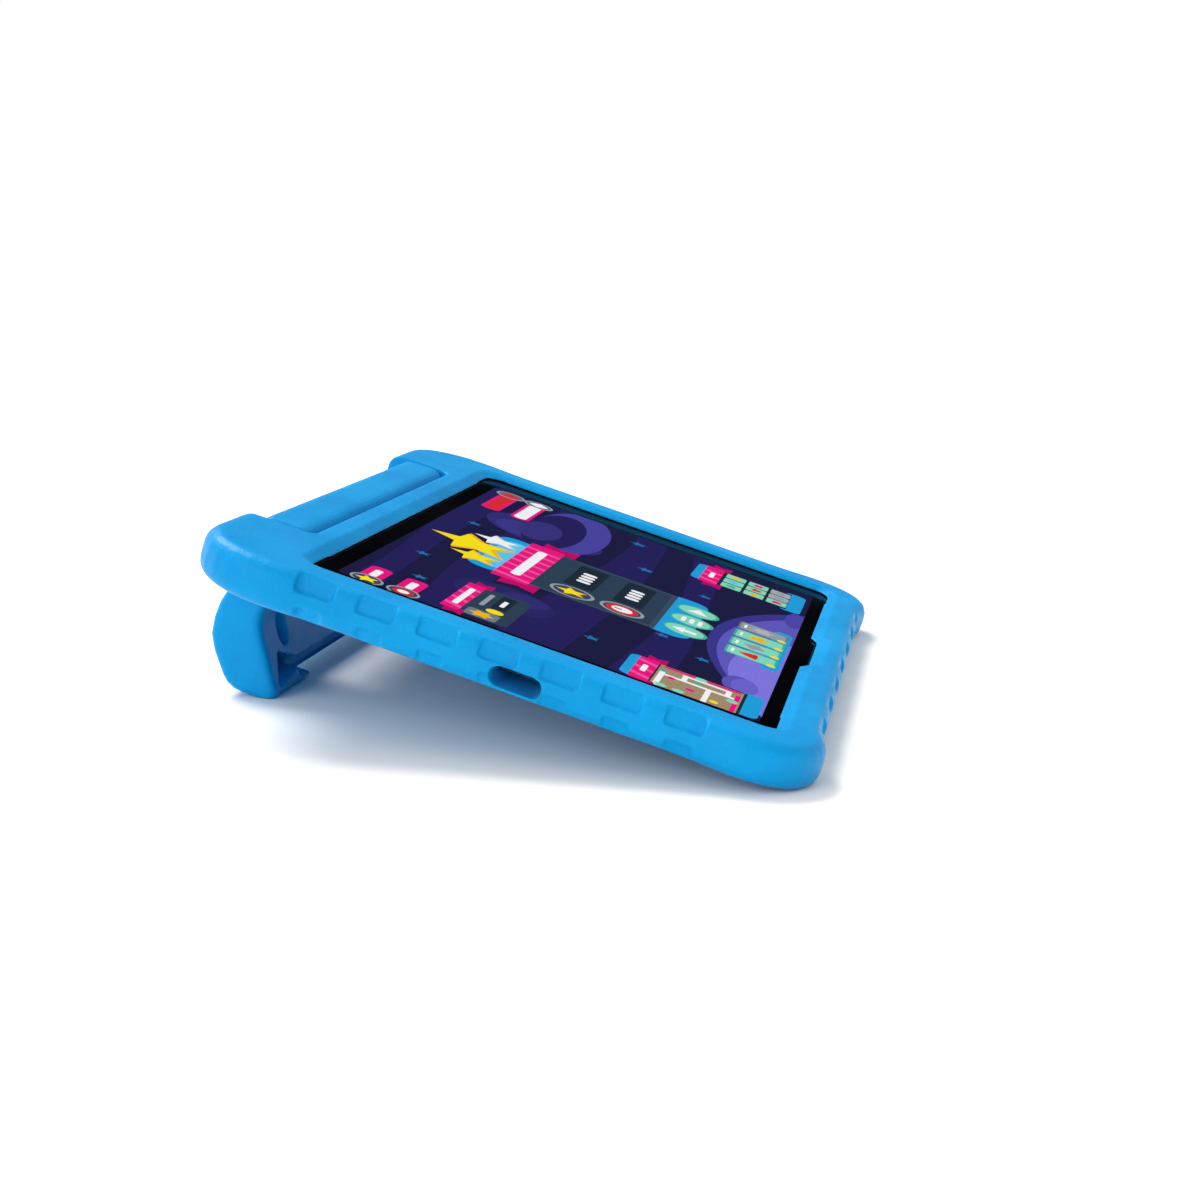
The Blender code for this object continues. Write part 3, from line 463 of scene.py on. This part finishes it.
def draw_picture():
    """A plain space game: night sky, planets, a card with stars, side cards, buttons; no lettering."""
    p = Picture()
    for base, rise, length, start, depth in ((66, 3, 46, 0.4, 11), (42, 4, 52, 2.0, 14), (10, 5, 60, 3.4, 17),
                                             (-22, 4, 50, 5.0, 14)):
        p.wave(base, rise, length, start, depth, DUSK)
    # ringed planet, upper right
    p.disc(50, 34, 23, (52, 47, 116))
    p.oval(44, 41, 13, 11, (62, 57, 136))
    p.oval(66, 27, 46, 15, VIOLET, 44)
    p.oval(60, 32, 38, 11, DUSK, 44)
    p.oval(52, 36, 19, 8, (58, 52, 126))
    # small planet, left
    p.disc(-72, 22, 17, (44, 40, 104))
    p.disc(-66, 16, 8, (52, 47, 116))
    # large planet, bottom
    p.oval(-18, -179, 140, 138, (60, 56, 140), 96)
    p.oval(-22, -180, 137, 135, (96, 90, 190), 96)
    p.oval(-50, -181, 113, 129, LILAC, 80)
    p.oval(-76, -58, 11, 5.5, (92, 86, 184))
    p.oval(-76, -60, 10, 4.5, (108, 100, 206))
    p.oval(50, -66, 14, 4, (78, 72, 168))
    for x, y in ((-83, 48), (24, 56), (-83, -10), (92, 3), (48, -7), (37, -32), (-46, -28), (-60, -44),
                 (-50, 56)):
        p.star(x, y, 3.6 if x > 40 else 2.9, STAR)

    # counters, upper left
    for y, colour in ((58.5, YELLOW), (46.5, RED)):
        p.bar(-108, y - 3.6, -89, y + 3.6, PINK, 2.4)
        p.bar(-103, y - 1.3, -93, y + 1.3, WHITE, 1.2)
        p.badge(-108.5, y, 5.4)
        if colour is YELLOW:
            p.star(-108.5, y, 4.0, colour)
        else:
            p.disc(-108.5, y, 3.4, colour)
            p.disc(-108.5, y, 2.0, WHITE)
    # bars, upper right
    for y, colour in ((59, RED), (47, WHITE)):
        p.bar(60, y - 3.8, 97, y + 3.8, PINK, 3.0)
        p.bar(61.5, y - 2.5, 95, y + 2.5, colour, 2.4)
        p.disc(99.5, y, 6.0, STONE)
        p.disc(99.5, y, 5.0, (96, 106, 122))
        p.star(99.5, y, 4.2, colour, 0.78, 4)

    # reward card, left
    p.bar(-108, 13, -67, 29, SLATE, 2.0)
    p.bar(-107, 17, -97.5, 27.5, (110, 126, 140), 1.2)
    p.star(-102.2, 22.4, 4.2, GOLD, 0.6, 6)
    p.disc(-94, 20, 2.9, YELLOW)
    p.bar(-90, 17.5, -70, 22.5, WELL, 1.2)
    p.bar(-85, 19.2, -76, 20.8, WHITE, 0.7)
    p.bar(-91, 24.6, -73, 26.2, STONE, 0.7)
    p.ribbon(-107, 29, -67, 35, 5)
    p.bar(-100, 31.0, -74, 33.0, WHITE, 0.9)

    # results card, middle
    p.bar(-40, 30, 22, 44, CYAN, 6)
    p.bar(-34, 30, 16, 41.5, SKY, 5)
    p.star(-28, 42.5, 9.6, GOLD)
    p.star(-28, 43.2, 8.2, YELLOW)
    p.star(8, 42.5, 9.6, (200, 206, 214))
    p.star(8, 43.2, 8.2, WHITE)
    p.star(-10, 47.5, 16.4, GOLD)
    p.star(-10, 48.6, 14.4, YELLOW)
    p.bar(-42, -36, 22, -20, CYAN, 6)
    p.bar(-41, -24, 21.5, 24, (58, 78, 98))
    p.bar(-39, -22, 19.5, 24, SLATE)
    for y in (7, -11):
        p.bar(-20, y - 5.4, 17, y + 5.4, WELL, 1.6)
        for i in range(4):
            x = -10.5 + 4.6 * i
            p.bar(x, y - 2.6, x + 3.4, y + 2.6, WHITE, 1.4)
        p.badge(-30, y, 8.0)
    p.star(-30, 7, 6.0, GOLD)
    p.star(-30, 7.5, 5.0, YELLOW)
    p.disc(-30, -11, 5.8, RED)
    p.disc(-30, -11, 3.8, WHITE)
    p.bar(-30.6, -11, -29.4, -8.2, WELL)
    p.ribbon(-44, 20.5, 25.5, 33.5, 8)
    p.bar(-34, 25.3, 16, 28.9, WHITE, 1.8)
    for x in (-28, -10.5, 7):
        p.disc(x, -33.5, 7.8, LEAF)
        p.disc(x, -33.2, 6.9, MINT)
    p.shape([(-32, -33), (-24, -33), (-28, -28.6)], WHITE)
    p.bar(-29.6, -37.4, -26.4, -33, WHITE)
    for y in (-30.4, -33.4, -36.4):
        p.bar(-14.2, y - 0.8, -6.8, y + 0.8, WHITE, 0.7)
    p.shape([(4.4, -37.2), (11.2, -33.4), (4.4, -29.6)], WHITE)

    # four cards, bottom
    p.bar(-42, -67.6, 22, -61, CYAN, 3)
    for i, (card, icon) in enumerate(((MINT, RED), (MINT, STONE), (MINT, GOLD), (STONE, (176, 184, 192)))):
        x = -37 + 14.2 * i
        p.bar(x, -66.4, x + 12.6, -48.2, (112, 122, 132) if card is STONE else LEAF, 1.6)
        p.bar(x + 0.8, -65.6, x + 11.8, -49.0, card, 1.2)
        p.bar(x + 3.6, -51.2, x + 9, -50.2, WHITE, 0.45)
        p.star(x + 6.3, -57, 4.4, icon, 0.62, 3 + i, 0.3 * i)
        p.disc(x + 1.6, -64.6, 1.7, YELLOW)

    # map, lower left
    p.bar(-111, -67.6, -83, -59, CYAN, 3)
    p.bar(-111, -34, -83, -23.6, CYAN, 3)
    p.bar(-112, -62, -84, -30, WELL)
    p.bar(-111.6, -61, -85, -33.6, TAN)
    for left, low, right, high in ((-111.6, -36.2, -93, -34.4), (-111.6, -51.6, -96, -49.8),
                                   (-96.6, -60, -94.6, -34.4), (-94.6, -43.2, -88, -41.4),
                                   (-95, -57.4, -88.4, -55.6), (-90, -57, -88.2, -43)):
        p.bar(left, low, right, high, WHITE)
    p.bar(-87.4, -60, -85.2, -35, PINK)
    p.bar(-111.6, -60.4, -90, -58.8, PINK)
    for x, y, colour in ((-109.4, -37, MINT), (-109.6, -42.6, MINT), (-86.6, -47, MINT),
                         (-99.6, -58.6, MINT), (-92, -46.6, LEAF), (-91.4, -35.4, LEAF),
                         (-103.6, -45.6, PINK), (-107.6, -53.6, YELLOW), (-97.4, -38.6, PINK)):
        p.disc(x, y, 2.0 if colour is MINT else 1.5, colour)
    p.ribbon(-111.8, -33, -83, -26.6, 5)
    p.bar(-101, -30.6, -92, -28.8, WHITE, 0.8)

    # grid, lower right
    p.bar(64, -66.4, 100, -58, CYAN, 3)
    p.bar(66, -34, 98, -22, CYAN, 3)
    p.bar(66, -60.6, 98, -30, WELL)
    for row in range(3):
        for column in range(3):
            x, y = 68.4 + 9.6 * column, -42.0 - 9.2 * row
            dull = row == 2 and column
            p.bar(x, y, x + 8.4, y + 8.0, (168, 176, 184) if dull else MINT, 0.9)
            marks = (LEAF, SKY, GOLD, RED, PINK, (90, 70, 60))
            mark = STONE if dull else marks[(2 * row + column) % 6]
            p.star(x + 4.2, y + 4, 2.7, mark, 0.7, 3 + (row + column) % 4)
    p.ribbon(65, -32.6, 99, -25.4, 6)
    p.bar(77, -30.0, 88, -28.0, WHITE, 0.9)
    return p


picture = bpy.data.objects.new("screen_picture", draw_picture().mesh("screen_picture", PICTURE_LIFT))
bpy.context.scene.collection.objects.link(picture)
picture.data.materials.append(picture_material())
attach(picture, "tablet")


# ---------------------------------------------------------------- floor, light and camera

def stage_floor():
    n = Nodes("paper_floor")
    shader = n.principled(Specular_IOR_Level=0.0, Roughness=1.0)
    paper = n.ramp(n.noise(3, 2), [(0.3, (0.93, 0.91, 0.88)), (0.7, (0.95, 0.93, 0.9))])
    n.link(paper, shader.inputs["Base Color"])
    work = bmesh.new()
    bmesh.ops.create_grid(work, x_segments=4, y_segments=4, size=60)
    bmesh.ops.translate(work, verts=work.verts, vec=(0, 0, -0.1 * MM))
    mesh = bpy.data.meshes.new("floor")
    work.to_mesh(mesh)
    work.free()
    floor = bpy.data.objects.new("floor", mesh)
    bpy.context.scene.collection.objects.link(floor)
    mesh.materials.append(n.material)


def soft_sun(name, towards, strength, degrees):
    """A far, wide lamp that shines from the direction given."""
    lamp = bpy.data.lights.new(name, "SUN")
    lamp.energy = strength
    lamp.angle = math.radians(degrees)
    holder = bpy.data.objects.new(name, lamp)
    holder.rotation_euler = Vector(towards).to_track_quat("Z", "Y").to_euler()
    bpy.context.scene.collection.objects.link(holder)


def studio_world(strength, flag):
    """An even white studio with one soft black flag, low on the far side, that the glass mirrors."""
    world = bpy.data.worlds.new("studio")
    bpy.context.scene.world = world
    world.use_nodes = True
    tree = world.node_tree
    tree.nodes.clear()
    output = tree.nodes.new("ShaderNodeOutputWorld")
    light = tree.nodes.new("ShaderNodeBackground")
    light.inputs["Strength"].default_value = strength
    white = tree.nodes.new("ShaderNodeBackground")
    white.inputs["Color"].default_value = (1, 1, 1, 1)
    place = tree.nodes.new("ShaderNodeTexCoord")
    towards = tree.nodes.new("ShaderNodeVectorMath")
    towards.operation = "DOT_PRODUCT"
    towards.inputs[1].default_value = Vector(flag).normalized()
    shade = tree.nodes.new("ShaderNodeMapRange")
    for index, number in enumerate((0.8, 0.93, 1.0, 0.0), 1):
        shade.inputs[index].default_value = number
    path = tree.nodes.new("ShaderNodeLightPath")
    mix = tree.nodes.new("ShaderNodeMixShader")
    for source, target in ((place.outputs["Generated"], towards.inputs[0]),
                           (towards.outputs["Value"], shade.inputs[0]),
                           (shade.outputs[0], light.inputs["Color"]),
                           (path.outputs["Is Camera Ray"], mix.inputs[0]),
                           (light.outputs[0], mix.inputs[1]), (white.outputs[0], mix.inputs[2]),
                           (mix.outputs[0], output.inputs[0])):
        tree.links.new(source, target)


stage_floor()
studio_world(0.8, (0.97, 0.06, 0.24))
soft_sun("back_light", (0.4, 0.55, 0.85), 3.0, 30)
soft_sun("fill", (-0.85, 0.45, 0.35), 1.0, 35)

# The camera is rolled a little, as the view it matches is.
camera = bpy.data.objects.new("camera", bpy.data.cameras.new("camera"))
bpy.context.scene.collection.objects.link(camera)
camera.matrix_world = Matrix((
    (0.1788202, 0.1667802, -0.9696432, -0.7111884),
    (-0.9820045, 0.0911071, -0.1654292, -0.1280007),
    (0.0607511, 0.9817759, 0.1800707, 0.1597648),
    (0, 0, 0, 1)))
camera.data.sensor_width = 36
camera.data.lens = 62.19
camera.data.shift_x = 0.01168
camera.data.shift_y = -0.00392
camera.data.clip_start = 0.01
bpy.context.scene.camera = camera
bpy.context.scene.view_settings.view_transform = "Standard"
